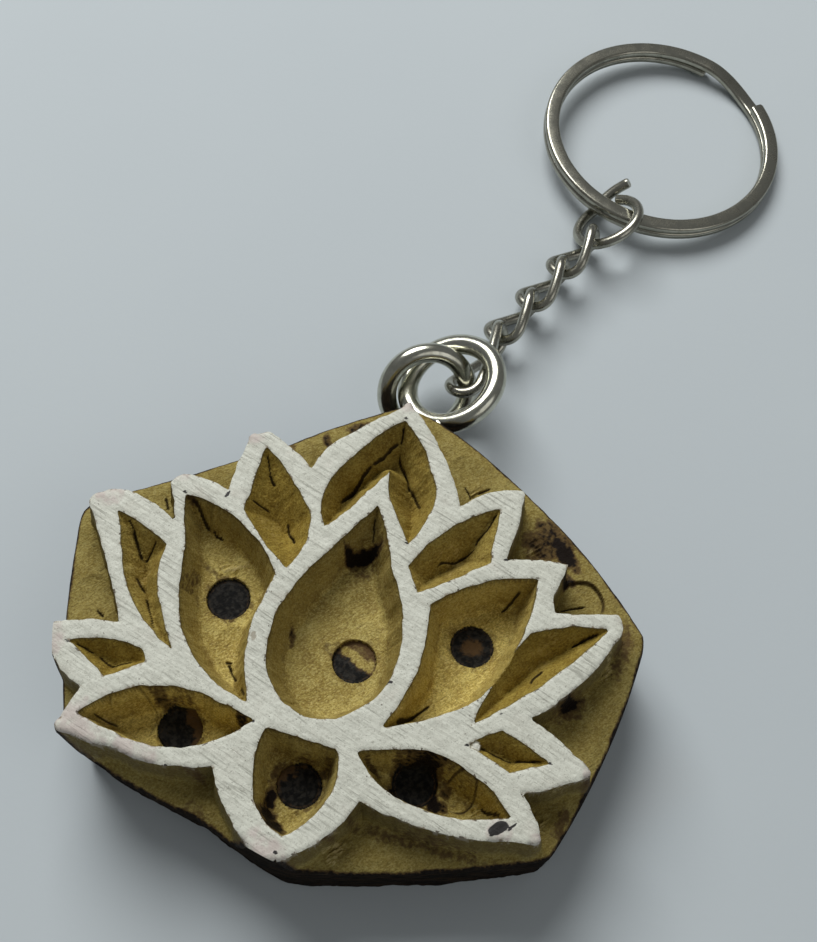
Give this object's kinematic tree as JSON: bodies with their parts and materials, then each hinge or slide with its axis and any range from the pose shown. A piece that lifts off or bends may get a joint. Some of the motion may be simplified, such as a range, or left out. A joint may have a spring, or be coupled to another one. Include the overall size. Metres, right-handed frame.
{
  "type": "carved wooden block keychain",
  "caption": "Keychain with a small relief-carved wooden printing block, a screw eye, a short curb chain and a flat split ring.",
  "frame": {"origin": "centre of the wooden block's flat underside", "axes": "+Z out of the carved face, +Y along the block from the flower's foot to the screw eye, +X to the right seen from the front"},
  "size_m": [0.0538, 0.0951, 0.0125],
  "materials": {
    "wood": "oiled, carved, with dark burn marks",
    "paint": "worn matt white paint",
    "bright_nickel": "bright nickel plate",
    "chain_nickel": "dull nickel plate",
    "satin_nickel": "satin nickel plate"
  },
  "bodies": {
    "block": {"printing_block": "wood", "face_paint": "paint", "screw_eye": "bright_nickel"},
    "jump": {"jump_ring": "bright_nickel"},
    "link_1": {"chain_link_1": "chain_nickel"},
    "link_2": {"chain_link_2": "chain_nickel"},
    "link_3": {"chain_link_3": "chain_nickel"},
    "link_4": {"chain_link_4": "chain_nickel"},
    "connector": {"connecting_ring": "chain_nickel"},
    "ring": {"split_ring": "satin_nickel"}
  },
  "joints": [
    {"name": "jump_swing", "type": "hinge", "parent": "block", "child": "jump", "pos_m": [-0.00095, 0.02434, 0.00403], "axis": [0, 0, 1], "range_deg": [-22, 0]},
    {"name": "link_1_swing", "type": "hinge", "parent": "jump", "child": "link_1", "pos_m": [0.004, 0.0268, 0.0044], "axis": [0, 0, 1], "range_deg": [-45, 10]},
    {"name": "link_2_fold", "type": "hinge", "parent": "link_1", "child": "link_2", "pos_m": [0.00607, 0.0327, 0.00256], "axis": [-0.9342, 0.2147, -0.285], "range_deg": [-45, 45]},
    {"name": "link_3_swing", "type": "hinge", "parent": "link_2", "child": "link_3", "pos_m": [0.00837, 0.03843, 0.00246], "axis": [-0.2347, 0.1076, 0.9661], "range_deg": [-45, 45]},
    {"name": "link_4_fold", "type": "hinge", "parent": "link_3", "child": "link_4", "pos_m": [0.01, 0.04186, 0.00245], "axis": [-0.869, 0.4212, -0.2595], "range_deg": [-45, 45]},
    {"name": "connector_turn", "type": "hinge", "parent": "link_4", "child": "connector", "pos_m": [0.01229, 0.04623, 0.00223], "axis": [-0.7206, 0.3958, -0.5693], "range_deg": [-45, 20]},
    {"name": "ring_swing", "type": "hinge", "parent": "connector", "child": "ring", "pos_m": [0.01241, 0.05203, 0.0011], "axis": [0.4559, 0.7946, 0.401], "range_deg": [0, 60]}
  ]
}
